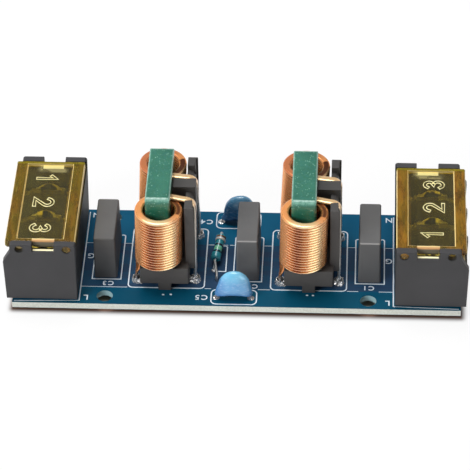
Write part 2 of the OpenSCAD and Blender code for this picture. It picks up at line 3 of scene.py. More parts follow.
import json
import math

import bmesh
import bpy
from mathutils import Matrix, Vector, noise


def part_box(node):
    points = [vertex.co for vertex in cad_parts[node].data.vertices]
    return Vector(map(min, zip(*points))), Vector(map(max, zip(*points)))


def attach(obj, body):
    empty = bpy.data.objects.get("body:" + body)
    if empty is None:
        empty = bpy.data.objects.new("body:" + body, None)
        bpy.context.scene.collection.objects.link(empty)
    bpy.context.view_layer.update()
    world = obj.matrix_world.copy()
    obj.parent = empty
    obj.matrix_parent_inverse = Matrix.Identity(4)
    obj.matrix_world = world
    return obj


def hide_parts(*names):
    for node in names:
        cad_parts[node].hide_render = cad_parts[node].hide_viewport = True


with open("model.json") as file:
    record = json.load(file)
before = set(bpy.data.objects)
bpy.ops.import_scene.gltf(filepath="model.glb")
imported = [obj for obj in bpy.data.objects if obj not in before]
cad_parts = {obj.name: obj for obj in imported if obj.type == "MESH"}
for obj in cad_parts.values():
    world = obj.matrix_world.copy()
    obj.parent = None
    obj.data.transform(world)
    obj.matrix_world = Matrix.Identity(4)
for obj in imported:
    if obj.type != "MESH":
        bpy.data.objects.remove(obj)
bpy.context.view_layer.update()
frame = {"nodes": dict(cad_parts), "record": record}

MM = 0.001
BOARD = "board_assembly"
SIDES = {"left": -1, "right": 1}
ENDS = {"front": -1, "back": 1}
BOARD_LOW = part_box("pcb")[0].z / MM
BOARD_X, BOARD_Y, DECK = [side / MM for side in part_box("pcb")[1]]  # half its length and width, and its top


# Shader maths


def tone(red, green, blue):
    """A screen colour from 0 to 255 as a linear one."""
    return [((c / 255 + 0.055) / 1.055) ** 2.4 if c > 10 else c / 255 / 12.92 for c in (red, green, blue)] + [1]


class Level:
    """A number socket of a finish that Python maths works on."""

    def __init__(self, finish, socket):
        self.finish, self.socket = finish, socket

    def maths(self, operation, *values):
        return self.finish.node("Math", {"operation": operation}, dict(enumerate(values)))

    def __add__(self, other):
        return self.maths("ADD", self, other)

    def __radd__(self, other):
        return self.maths("ADD", other, self)

    def __sub__(self, other):
        return self.maths("SUBTRACT", self, other)

    def __rsub__(self, other):
        return self.maths("SUBTRACT", other, self)

    def __mul__(self, other):
        return self.maths("MULTIPLY", self, other)

    def __rmul__(self, other):
        return self.maths("MULTIPLY", other, self)

    def __truediv__(self, other):
        return self.maths("DIVIDE", self, other)

    def __abs__(self):
        return self.maths("ABSOLUTE", self)

    def most(self, other):
        return self.maths("MAXIMUM", self, other)

    def least(self, other):
        return self.maths("MINIMUM", self, other)

    def rise(self, low, high):
        """Goes smoothly from 0 at low to 1 at high."""
        if low > high:
            return 1 - self.rise(high, low)
        sockets = {"Value": self, "From Min": low, "From Max": high}
        return self.finish.node("MapRange", {"interpolation_type": "SMOOTHSTEP"}, sockets)

    def band(self, low, high, soft):
        """1 between low and high, fading to 0 over soft outside them."""
        return self.rise(low - soft, low) * self.rise(high + soft, high)


class Finish:
    """A material, or the world, as it is made. node() adds any node, and surface() ends a plain material."""

    def __init__(self, name, store=bpy.data.materials, point="Object"):
        self.material = store.new(name)
        self.material.use_nodes = True
        self.tree = self.material.node_tree
        self.tree.nodes.clear()
        self.point = self.node("TexCoord", output=point)
        parts = self.node("SeparateXYZ", {}, {0: self.point}).socket.node.outputs
        self.x, self.y, self.z = [Level(self, s) for s in parts]

    def node(self, kind, settings=None, sockets=None, output=0):
        """Adds a node, with its settings first and then the values or links of its sockets."""
        made = self.tree.nodes.new("ShaderNode" + kind)
        for key, value in (settings or {}).items():
            setattr(made, key, value)
        for key, value in (sockets or {}).items():
            if isinstance(value, Level):
                self.tree.links.new(value.socket, made.inputs[key])
            else:
                made.inputs[key].default_value = value
        return Level(self, made.outputs[output])

    def mix(self, share, one, other):
        """One colour, with a share of another. A colour mix has its colours in sockets 6 and 7."""
        return self.node("Mix", {"data_type": "RGBA"}, {0: share, 6: one, 7: other}, 2)

    def noise(self, size, detail=2, roughness=0.5, point=None):
        """Clouds of about size millimetres, from 0 to 1."""
        sockets = {"Vector": point or self.point, "Scale": 1 / (size * MM), "Detail": detail, "Roughness": roughness}
        return self.node("TexNoise", {}, sockets)

    def grains(self, size):
        """How far a point is from the middle of its grain, for grains of about size millimetres."""
        return self.node("TexVoronoi", {}, {"Vector": self.point, "Scale": 1 / (size * MM)}, "Distance")

    def stretched(self, x, y, z):
        """The point with each axis multiplied."""
        return self.node("VectorMath", {"operation": "MULTIPLY"}, {0: self.point, 1: (x, y, z)})

    def ray(self, kind):
        """1 for a kind of ray, such as Camera, and 0 for the others."""
        return self.node("LightPath", output=f"Is {kind} Ray")

    def seen(self):
        """1 where the camera sees it, mirrored and through something clear too, and 0 for the light that it gives."""
        return (self.ray("Camera") + self.ray("Glossy") + self.ray("Transmission")).least(1)

    def bump(self, height, depth):
        """A normal from a height of up to depth millimetres."""
        return self.node("Bump", {}, {"Height": height, "Distance": depth * MM, "Strength": 1})

    def surface(self, colour, roughness, normal=None, metallic=0, **fixed):
        """Ends the material in one shader. A fixed value has its socket's name."""
        sockets = {"Base Color": colour, "Roughness": roughness, "Metallic": metallic}
        if normal:
            sockets["Normal"] = normal
        sockets.update({key.replace("_", " ").title().replace("Ior", "IOR"): v for key, v in fixed.items()})
        shader = self.node("BsdfPrincipled", {}, sockets)
        self.node_out(shader)
        return self.material

    def node_out(self, shader, kind="Material"):
        out = self.tree.nodes.new("ShaderNodeOutput" + kind)
        self.tree.links.new(shader.socket, out.inputs["Surface"])


# Finishes

CHOKE_X, CORE_X = 16.102, -1.15  # the chokes' places, and their cores' places in them
COPPER_LINES = (-10.51, 4.44)  # the board's middle zone has no copper under its mask
NOTCH = (40.1, 44.6)  # the finger notches in the blocks' end walls, along the board
BLOCK_INNER = 35.46  # the blocks' inner walls
COVER_SIDE, COVER_END = (37.9, 48.3), 12.95  # where the covers' sunk panels begin
COVER_EDGES = (35.48, 50.8)  # the covers' long edges
TONGUE_Y, TONGUE_Z = (13.25, 13.76), (14.25, 15.5)  # the covers' tongues in the notches


def solder_mask():
    """Blue mask over copper at the board's long edges and over bare laminate between, with pale cut edges."""
    f = Finish("solder_mask")
    x, y, z = f.x / MM, f.y / MM, f.z / MM
    cloud = f.noise(9, 3)
    middle = y.band(*COPPER_LINES, 0.12)
    colour = f.mix(cloud, tone(8, 76, 108), tone(16, 94, 128))
    # Painted shade: the mask darkens towards the board's front edge.
    colour = f.mix(y.rise(-9, -12), colour, f.mix(cloud, tone(6, 65, 89), tone(10, 82, 108)))
    bare = f.mix(cloud, tone(36, 56, 84), tone(44, 74, 102))
    tracks = f.noise(2.6, 1, 0.5, f.stretched(0.25, 1, 1)).rise(0.5, 0.56)
    bare = f.mix(tracks * 0.35, bare, tone(18, 82, 114))
    colour = f.mix(middle, colour, bare)
    glass = f.noise(0.35, 2, 0.6, f.stretched(1, 6, 1))
    core = f.mix(glass, tone(186, 190, 178), tone(228, 231, 224))
    side = z.band(BOARD_LOW + 0.06, DECK - 0.06, 0.02)
    outer = abs(y).rise(BOARD_Y - 0.2, BOARD_Y - 0.1).most(abs(x).rise(BOARD_X - 0.2, BOARD_X - 0.1))
    bore = f.mix(glass, tone(138, 176, 184), tone(170, 200, 204))
    colour = f.mix(side, colour, f.mix(outer, bore, core))
    weave = f.noise(0.5, 1) * 0.4 + middle * 0.6
    return f.surface(colour, 0.26 + 0.1 * cloud + 0.35 * side, f.bump(weave, 0.012), specular_ior_level=0.12)


def board_print():
    f = Finish("board_print")
    wear_and_sheen = f.noise(0.7, 2)
    colour = f.mix(wear_and_sheen, tone(205, 220, 232), tone(240, 246, 250))
    return f.surface(colour, 0.55 + 0.15 * wear_and_sheen, f.bump(wear_and_sheen, 0.01))


def bright_solder():
    f = Finish("bright_solder")
    ripple = f.noise(0.9, 3, 0.6)
    crystals = f.grains(0.35)
    colour = f.mix(ripple, tone(190, 190, 192), tone(250, 248, 244))
    normal = f.bump(ripple * 0.7 + crystals * 0.3, 0.25)
    return f.surface(colour, 0.1 + 0.2 * crystals, normal, metallic=0.8)


def moulded(name, dark, light, roughness, grain=0.3, block=False, case=False):
    """Dull plastic. A case has a painted highlight along its front top edge; a block has painted shade on its inner
    walls and on the inner part of its notch floors, and a painted line of light on their outer part.
    """
    f = Finish(name)
    flow = f.noise(7, 3)
    pits = f.grains(grain)
    fine = f.noise(grain * 0.5, 2)
    colour = f.mix(flow, dark, light)
    x, y, z = f.x / MM, f.y / MM, f.z / MM - DECK
    if case:
        # Painted highlight along the front top edge, on the middle and right cases.
        edge_highlight = y.rise(-7.0, -7.25) * z.rise(11.1, 11.3) * x.rise(-20, -10)
        colour = f.mix(edge_highlight * 0.5, colour, tone(186, 184, 182))
    if block:
        # Painted shade on the blocks' inner walls.
        colour = f.mix(abs(x).rise(BLOCK_INNER, BLOCK_INNER - 0.08), colour, tone(40, 43, 46))
        # Painted shade on the inner part of each notch floor, and a painted line of light, as through the amber cover,
        # on its outer part.
        floor = abs(x).band(*NOTCH, 0.1) * z.band(14.05, 14.3, 0.05)
        colour = f.mix(floor * abs(y).rise(14.3, 14.2), colour, tone(26, 20, 10))
        colour = f.mix(floor * abs(y).band(14.45, 14.9, 0.12), colour, tone(255, 250, 206))
    normal = f.bump(pits * 0.5 + fine * 0.5, 0.012)
    return f.surface(colour, roughness + 0.12 * flow + 0.08 * fine, normal, specular_ior_level=0.25)


def amber():
    """Tinted clear plastic, partly matt and streaked olive where it is thick, with painted highlights along its cut
    edges, painted shade on the left cover, painted light on its front ends in the notches and a painted glare at the
    back of its panels.
    """
    f = Finish("amber")
    x, y, z = f.x / MM, f.y / MM, f.z / MM - DECK
    across, along = abs(x), abs(y)
    left, behind = x.rise(10, -10), y.rise(-1, 1)
    flow = f.noise(5, 2)
    clear = f.mix(flow, tone(218, 208, 80), tone(232, 220, 108))
    normal = f.bump(f.noise(2.5, 2), 0.008)
    sockets = {"Base Color": clear, "Roughness": 0.03 + 0.05 * flow, "Normal": normal}
    glass = f.node("BsdfPrincipled", {}, {**sockets, "Transmission Weight": 1, "IOR": 1.5, "Specular IOR Level": 0.3})
    low, high = COVER_SIDE
    inner, outer = COVER_EDGES
    rim = (1 - across.band(low, high, 0.05)).most(along.rise(COVER_END, COVER_END + 0.05))
    # Painted highlights along the sunk panels' edges and ends and along the covers' long edges.
    line = across.band(low - 0.04, low + 0.1, 0.06).most(across.band(high - 0.1, high + 0.04, 0.06))
    line = line * along.rise(COVER_END + 0.15, COVER_END)
    ends = along.band(COVER_END - 0.05, COVER_END + 0.1, 0.08) * across.band(low, high, 0.05) * 0.6
    top = z.rise(15.3, 15.5)
    hem = across.rise(inner + 0.12, inner).most(across.rise(outer - 0.12, outer)) * z.rise(14.5, 15.2)
    line = (line.most(ends) * top).most(hem)
    streak = f.noise(1.6, 3, 0.6, f.stretched(1, 0.22, 1)).rise(0.3, 0.7)
    patch = f.noise(3.5, 2, 0.5, f.stretched(1.5, 0.5, 1)).rise(0.35, 0.65)
    body = f.mix(streak, tone(72, 44, 4), tone(158, 110, 26))
    body = f.mix(patch * (0.3 + 0.3 * left), body, tone(116, 112, 10))
    # Painted shade: the left cover is darker.
    body = f.mix(left * 0.45, body, tone(84, 70, 8))
    body = f.mix(1 - rim, body, tone(122, 118, 92))
    body = f.mix(line, body, tone(246, 220, 150))
    notch = across.band(NOTCH[0] - 0.15, NOTCH[1] + 0.2, 0.12)
    lit = notch * along.rise(COVER_END - 0.1, COVER_END + 0.05) * z.rise(15.4, 15.7) * (1 - behind)
    warm = f.mix(along.rise(13.1, 13.6), tone(252, 226, 158), tone(206, 156, 104))
    body = f.mix(lit, body, warm)
    body = f.mix(behind * along.rise(COVER_END, COVER_END + 0.1), body, tone(140, 126, 14))
    face = notch * along.rise(TONGUE_Y[1] - 0.1, TONGUE_Y[1]) * z.rise(15.85, 15.65)
    body = f.mix(face, body, tone(104, 98, 84))
    sunk = behind * z.band(15.5, 15.7, 0.05)
    # Painted glare at the back of each sunk panel, broken up by noise.
    glare = across.band(40.2, 44.7, 0.25) * along.band(11.9, 12.9, 0.2)
    glare_breakup = f.noise(2.2, 2, 0.5, f.stretched(0.6, 1, 1)).rise(0.3, 0.6)
    glare = glare.most(across.band(40, 45, 1.5) * along.band(10.9, 12.9, 0.8) * glare_breakup * 0.5) * sunk
    body = f.mix(glare, body, tone(255, 240, 160))
    share = 0.02 + 0.06 * streak + rim * (0.5 + 0.2 * streak) + line * 0.8 + lit * 0.6 + face * 0.8 + glare * 0.7
    matt = f.node("BsdfPrincipled", {}, {**sockets, "Base Color": body, "Roughness": 0.3, "Specular IOR Level": 0.3})
    seen = f.node("MixShader", {}, {0: share.least(1), 1: glass, 2: matt})
    let_through = f.node("BsdfTransparent", {}, {"Color": tone(250, 226, 130)})
    f.node_out(f.node("MixShader", {}, {0: f.ray("Shadow") * 0.95, 1: seen, 2: let_through}))
    return f.material


def highlit_ridge():
    # The pale cream colour is painted highlight on the raised numbers' clear edges.
    f = Finish("highlit_ridge")
    flow = f.noise(0.8, 2)
    colour = f.mix(flow, tone(236, 222, 140), tone(255, 250, 204))
    return f.surface(colour, 0.2 + 0.1 * flow)


def tinned(name, dark, light, size=0.6, metallic=1.0):
    f = Finish(name)
    streak = f.noise(size, 3, 0.6, f.stretched(1, 1, 0.2))
    spots = f.noise(size * 3, 2)
    colour = f.mix(streak * 0.6 + spots * 0.4, dark, light)
    return f.surface(colour, 0.25 + 0.2 * streak, f.bump(streak, 0.02), metallic=metallic)


def turned_steel():
    f = Finish("turned_steel")
    grain = f.noise(0.5, 2)
    haze = f.noise(2.2, 2)
    colour = f.mix(haze, tone(168, 168, 162), tone(224, 224, 218))
    return f.surface(colour, 0.32 + 0.15 * haze, f.bump(grain, 0.005), metallic=0.6)


def core_coating():
    """Green powder coating with pale flecks, and painted highlights along its top edges."""
    f = Finish("core_coating")
    x, y, z = f.x / MM, abs(f.y / MM), f.z / MM - DECK
    cloud = f.noise(3, 3)
    speck = f.grains(0.5).rise(0.3, 0.1) * f.noise(1.1, 1).rise(0.45, 0.62)
    colour = f.mix(cloud, tone(16, 92, 72), tone(42, 124, 96))
    colour = f.mix(f.noise(0.5, 2).rise(0.4, 0.7) * 0.5, colour, tone(34, 114, 106))
    colour = f.mix(speck * 0.85, colour, tone(160, 218, 196))
    # Painted highlights along the top edges at the core's sides and ends, broken up by noise.
    left, right = abs(x + CHOKE_X - CORE_X), abs(x - CHOKE_X - CORE_X)
    wear_and_sheen = f.noise(0.7, 3, 0.7, f.stretched(1, 0.5, 1)).rise(0.35, 0.6)
    edge_highlight = left.least(right).rise(2.3, 2.65) * z.rise(23.9, 24.3)
    front = y.band(8.5, 9.15, 0.25) * z.rise(23.4, 24.0)
    colour = f.mix(edge_highlight.most(front * 0.8) * (0.35 + 0.4 * wear_and_sheen), colour, tone(150, 196, 178))
    peel = f.noise(0.8, 2) * 0.6 + f.noise(0.28, 2) * 0.4
    return f.surface(colour, 0.28 + 0.16 * cloud, f.bump(peel, 0.12), coat_weight=0.6)


WIRE_LEVELS = ("tin", "pale", "groove", "metal")  # set along each wire, and "flank" round it


def enamelled_wire():
    """Copper under clear enamel, with painted shade down between the turns, painted highlights on their crests and
    where set along the wire, a painted dark reflection where set along it, and bare tinned ends.
    """
    f = Finish("enamelled_wire")
    tin, pale, groove, metal, flank = [f.node("Attribute", {"attribute_name": name}, output="Fac")
                                       for name in (*WIRE_LEVELS, "flank")]
    streak = f.noise(0.8, 3, 0.6, f.stretched(1, 1, 3))
    cloud = f.noise(4, 2)
    # Painted highlight on the crest of each turn.
    crest = (flank - pale * 0.1).rise(0.5, 0.05)
    copper = f.mix(cloud, tone(250, 162, 94), tone(255, 176, 106))
    # A pale level above 0 paints a cream highlight; below 0 a darker reddish brown, which on the front turns is a
    # painted dark reflection.
    copper = f.mix(pale.rise(0, 1), copper, tone(255, 218, 164))
    copper = f.mix(pale.rise(0, -1), copper, tone(196, 104, 74))
    copper = f.mix(crest * 0.8, copper, f.mix(pale.rise(-1, 1), tone(240, 184, 146), tone(255, 228, 184)))
    # Painted shade down between the turns, deeper where the groove level is set.
    copper = f.mix((flank + groove * 0.5).rise(0.85, 1.2) * 0.95, copper, tone(72, 30, 16))
    copper = f.mix(streak * 0.08, copper, tone(200, 110, 70))
    silver = f.mix(streak, tone(190, 190, 190), tone(244, 242, 238))
    normal = f.bump(f.noise(2.5, 1, 0.5, f.stretched(1, 1, 3)), 0.02)
    rough = 0.16 + 0.08 * streak + 0.1 * flank
    return f.surface(f.mix(tin, copper, silver), rough, normal, metallic=metal, coat_weight=(1 - tin) * 0.15)


def cast_resin():
    f = Finish("cast_resin")
    cloud = f.noise(2, 3)
    colour = f.mix(cloud, tone(128, 118, 84), tone(160, 148, 108))
    return f.surface(colour, 0.35 + 0.2 * cloud, f.bump(cloud, 0.05))


def dipped_blue():
    f = Finish("dipped_blue")
    x, y, z = f.x / MM, f.y / MM, f.z / MM - DECK
    cloud = f.noise(2.4, 3)
    colour = f.mix(cloud, tone(84, 148, 204), tone(110, 176, 222))
    # Painted light on the discs' tops, painted shade towards their bottoms and their lower left, and painted shade over
    # the whole back disc.
    colour = f.mix(z.rise(4.5, 7.2) * 0.7, colour, tone(126, 204, 232))
    colour = f.mix(z.rise(3.6, 0.8) * 0.6, colour, tone(74, 112, 184))
    colour = f.mix(x.rise(-1.5, -4) * z.rise(7.2, 5) * 0.6, colour, tone(70, 124, 186))
    colour = f.mix(y.rise(-5, 5) * 0.6, colour, tone(36, 88, 134))
    pale_streaks = f.noise(0.5, 3, 0.6, f.stretched(0.5, 1, 2)).rise(0.5, 0.72)
    colour = f.mix(pale_streaks * 0.35, colour, tone(170, 206, 236))
    peel = f.noise(1.4, 2)
    return f.surface(colour, 0.16 + 0.1 * cloud, f.bump(peel, 0.06), coat_weight=0.8)


RESISTOR_MID = Vector((-4.61, 0.625, 2.6))
RESISTOR_TURN, RESISTOR_RISE = math.radians(-10), math.radians(12)
RESISTOR_L = 6.7
BANDS = ((-0.225, 0.025, tone(12, 10, 16)), (-0.085, 0.07, tone(124, 200, 160)), (0.055, 0.03, tone(26, 14, 34)),
         (0.3, 0.035, tone(214, 206, 196)), (0.39, 0.03, tone(104, 60, 38)))  # (middle, half width) of its length


def banded_lacquer():
    """Blue green lacquer with its bands set along the turned and tilted body."""
    f = Finish("banded_lacquer")
    along = Vector((-math.sin(RESISTOR_TURN) * math.cos(RESISTOR_RISE),
                    math.cos(RESISTOR_TURN) * math.cos(RESISTOR_RISE), math.sin(RESISTOR_RISE)))
    centre = (RESISTOR_MID + Vector((0, 0, DECK))) * MM
    offset = f.node("VectorMath", {"operation": "SUBTRACT"}, {0: f.point, 1: centre})
    place = f.node("VectorMath", {"operation": "DOT_PRODUCT"}, {0: offset, 1: along}, "Value") / (RESISTOR_L * MM)
    colour = f.mix(f.noise(1.2, 2), tone(34, 124, 140), tone(62, 156, 166))
    for middle, half, shade in BANDS:
        colour = f.mix(place.band(middle - half, middle + half, 0.012), colour, shade)
    return f.surface(colour, 0.14 + 0.08 * f.noise(1, 2), f.bump(f.noise(0.8, 2), 0.03), coat_weight=0.8)


BLOCK = moulded("block_plastic", tone(58, 58, 59), tone(72, 71, 73), 0.5, block=True)
BASE = moulded("base_plastic", tone(62, 60, 60), tone(82, 80, 78), 0.4)
CASE = moulded("case_plastic", tone(88, 88, 89), tone(105, 105, 105), 0.4, 0.4, case=True)
MASK, PRINT, SOLDER, AMBER, RIDGE = solder_mask(), board_print(), bright_solder(), amber(), highlit_ridge()
BRASS = tinned("tinned_brass", tone(176, 168, 140), tone(232, 226, 206), 1.5, 0.7)
TINNED = tinned("tinned_wire", tone(176, 176, 176), tone(238, 236, 232))
STEEL, CORE, COPPER, RESIN, BLUE = turned_steel(), core_coating(), enamelled_wire(), cast_resin(), dipped_blue()
LACQUER = banded_lacquer()


# Pieces


def dress(piece, finish, body=BOARD):
    """Gives a finished piece its material and the body that it rides on."""
    piece.data.materials.clear()
    piece.data.materials.append(finish)
    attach(piece, body)


def as_piece(name, mesh, smooth=35):
    """Puts a mesh in the scene, smooth across edges under so many degrees, or flat."""
    piece = bpy.data.objects.new(name, mesh)
    bpy.context.scene.collection.objects.link(piece)
    if smooth is not None:
        mesh.set_sharp_from_angle(angle=math.radians(smooth))
        mesh.polygons.foreach_set("use_smooth", [True] * len(mesh.polygons))
    return piece


def from_bmesh(name, shape, smooth=35):
    mesh = bpy.data.meshes.new(name)
    shape.to_mesh(mesh)
    shape.free()
    return as_piece(name, mesh, smooth)


def body_of(node):
    """The body that a CAD node rides on."""
    return next(body for body, nodes in frame["record"]["behaviour"]["bodies"].items() if node in nodes)


def evened(piece):
    """Lets flat faces shade flat beside their rounded edges."""
    modifier = piece.modifiers.new("evened", "WEIGHTED_NORMAL")
    modifier.weight, modifier.keep_sharp = 100, True
    bpy.context.view_layer.update()
    graph = bpy.context.evaluated_depsgraph_get()
    mesh = bpy.data.meshes.new_from_object(piece.evaluated_get(graph), preserve_all_data_layers=True, depsgraph=graph)
    piece.modifiers.clear()
    piece.data = mesh
    return piece


def softened(node, radius, finish, steps=2):
    """A copy of a CAD node whose sharp edges are rounded, as moulded and stamped edges are."""
    shape = bmesh.new()
    shape.from_mesh(frame["nodes"][node].data)
    bmesh.ops.remove_doubles(shape, verts=shape.verts, dist=0.002 * MM)
    bmesh.ops.dissolve_limit(shape, angle_limit=math.radians(0.5), verts=shape.verts, edges=shape.edges)
    edges = [e for e in shape.edges if len(e.link_faces) == 2 and e.calc_face_angle() > math.radians(30)]
    bmesh.ops.bevel(shape, geom=edges, offset=radius * MM, offset_type="OFFSET", segments=steps, profile=0.5,
                    affect="EDGES", clamp_overlap=False)
    piece = evened(from_bmesh(node + "_rounded", shape, 40))
    dress(piece, finish, body_of(node))
    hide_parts(node)


def paint(node, finish):
    """Gives a CAD node its finish."""
    data = frame["nodes"][node].data
    data.materials.clear()
    data.materials.append(finish)


paint("pcb", MASK)
for side in SIDES:
    softened(f"block_{side}", 0.12, BLOCK)
    softened(f"cover_{side}", 0.1, AMBER)
    softened(f"choke_base_{side}", 0.14, BASE)
    softened(f"core_{side}", 0.2, CORE)
    for i in (1, 2, 3):
        softened(f"contact_{side}_{i}", 0.08, BRASS)
        softened(f"clamp_{side}_{i}", 0.1, STEEL)
        softened(f"screw_{side}_{i}", 0.08, STEEL)
for place in ("left", "middle", "right"):
    softened(f"cap_case_{place}", 0.22, CASE, 3)
    paint(f"cap_resin_{place}", RESIN)
    paint(f"cap_leads_{place}", TINNED)
for end in ENDS:
    paint(f"disc_leads_{end}", TINNED)
paint("resistor", LACQUER)
paint("resistor_leads", TINNED)
paint("solder_joints", SOLDER)


# Windings

COIL_Y, COIL_R = 8.15, 4.44  # the ring's legs, and the middle of the wire round them
COIL_LOW, COIL_HIGH = 7.1, 21.1  # the middle of the wire where its turns start and end
COIL_START, SWEEP = 178.0, 6928.0  # degrees
COIL_LEAN = math.tan(math.radians(1.5))
WIRE_W, WIRE_T = 1.75, 0.66
WIRE_X, WIRE_Y, WIRE_BEND = 6.8, -3.639, 1.8  # where the upper end runs, and its bend over the wall
INNER_FOOT, OUTER_FOOT, INNER_BOW = (-6.2, -8.1), (6.7, -7.6), (-0.9, 0, 2.2)
INNER_TWIST, BOW_STEPS, STEPS_A_TURN, REACH_STEPS, BEND_STEPS = 85, 16, 60, 9, 12
STRAY = {"front": (1.3, 0), "back": (-0.75, -0.3)}  # how far the upper end strays outwards, the lower turns inwards
SLANT_LOW = 5.2  # where the upper end's slanted run down the wall ends


def bezier(points, share):
    """A point on a cubic curve, and the way that the curve goes there."""
    while len(points) > 2:
        points = [p.lerp(q, share) for p, q in zip(points, points[1:])]
    return points[0].lerp(points[1], share), (points[1] - points[0]).normalized()


def winding_path(end):
    """Points along a winding on the front leg, as (place, across the flat wire, share of tin), and where it turns."""
    def ring(angle):
        return Vector((math.cos(math.radians(angle)), math.sin(math.radians(angle)), 0))

    stray, sag = STRAY[end]
    low = Vector((CORE_X - (COIL_HIGH - COIL_LOW) / 2 * COIL_LEAN + sag, -COIL_Y, COIL_LOW)) + ring(COIL_START) * COIL_R
    foot = Vector((*INNER_FOOT, 0.2))
    bow = [foot, foot + Vector(INNER_BOW), low + Vector((0.1, -0.4, -3.2)), low]
    path = [(Vector((*INNER_FOOT, z)), ring(COIL_START - INNER_TWIST), 1) for z in (-DECK, 0)]
    for step in range(BOW_STEPS):
        place, way = bezier(bow, step / BOW_STEPS)
        across = ring(COIL_START - INNER_TWIST * min(1, 2 * (1 - step / BOW_STEPS)))
        path.append((place, (across - way * across.dot(way)).normalized(), max(0, min(1, 1.5 - step / 5))))
    first_turn, steps = len(path), round(SWEEP / 360 * STEPS_A_TURN)
    for step in range(steps + 1):
        share = step / steps
        z = COIL_LOW + (COIL_HIGH - COIL_LOW) * share
        spoke = ring(COIL_START - SWEEP * share)
        x = CORE_X + (z - (COIL_LOW + COIL_HIGH) / 2) * COIL_LEAN + sag * (1 - share)
        path.append((Vector((x, -COIL_Y, z)) + spoke * COIL_R, spoke, 0))
    last_turn = len(path)
    first, edge, drop = CORE_X + 0.6, WIRE_X - WIRE_BEND, COIL_HIGH - WIRE_BEND

    def upper(x, z, tin):
        """A point of the upper end, which strays sideways on its way to the wall."""
        share = max(0, min(1, (x - first) / (WIRE_X - first)))
        turn = math.atan(6 * share * (1 - share) * stray / (WIRE_X - first))
        y = WIRE_Y - stray * share * share * (3 - 2 * share)
        path.append((Vector((x, y, z)), Vector((math.sin(turn), math.cos(turn), 0)), tin))

    for step in range(1, REACH_STEPS):
        upper(first + (edge - first) * step / REACH_STEPS, COIL_HIGH, 0)
    for step in range(BEND_STEPS + 1):
        a = math.radians(90 * step / BEND_STEPS)
        upper(edge + WIRE_BEND * math.sin(a), drop + WIRE_BEND * math.cos(a), max(0, step / BEND_STEPS - 0.4))
    start, high, low = WIRE_Y - stray, drop - 2, SLANT_LOW
    slant = math.atan((OUTER_FOOT[1] - start) / (high - low))
    for share in (0, 0.03, 0.06, 0.25, 0.5, 0.75, 0.94, 0.97, 1):
        place = Vector((WIRE_X, start + (OUTER_FOOT[1] - start) * share, high + (low - high) * share))
        turn = slant * min(1, 8 * min(share, 1 - share) + 0.5)
        path.append((place, Vector((0, math.cos(turn), math.sin(turn))), 0.7 + 0.3 * share))
    for x, z in ((WIRE_X, low - 1), (OUTER_FOOT[0] + 0.05, low / 2 + 0.4), (OUTER_FOOT[0], low / 2),
                 (OUTER_FOOT[0], 0.6), (OUTER_FOOT[0], 0), (OUTER_FOOT[0], -DECK)):
        path.append((Vector((x, OUTER_FOOT[1], z)), Vector((0, 1, 0)), 1))
    return path, first_turn, last_turn


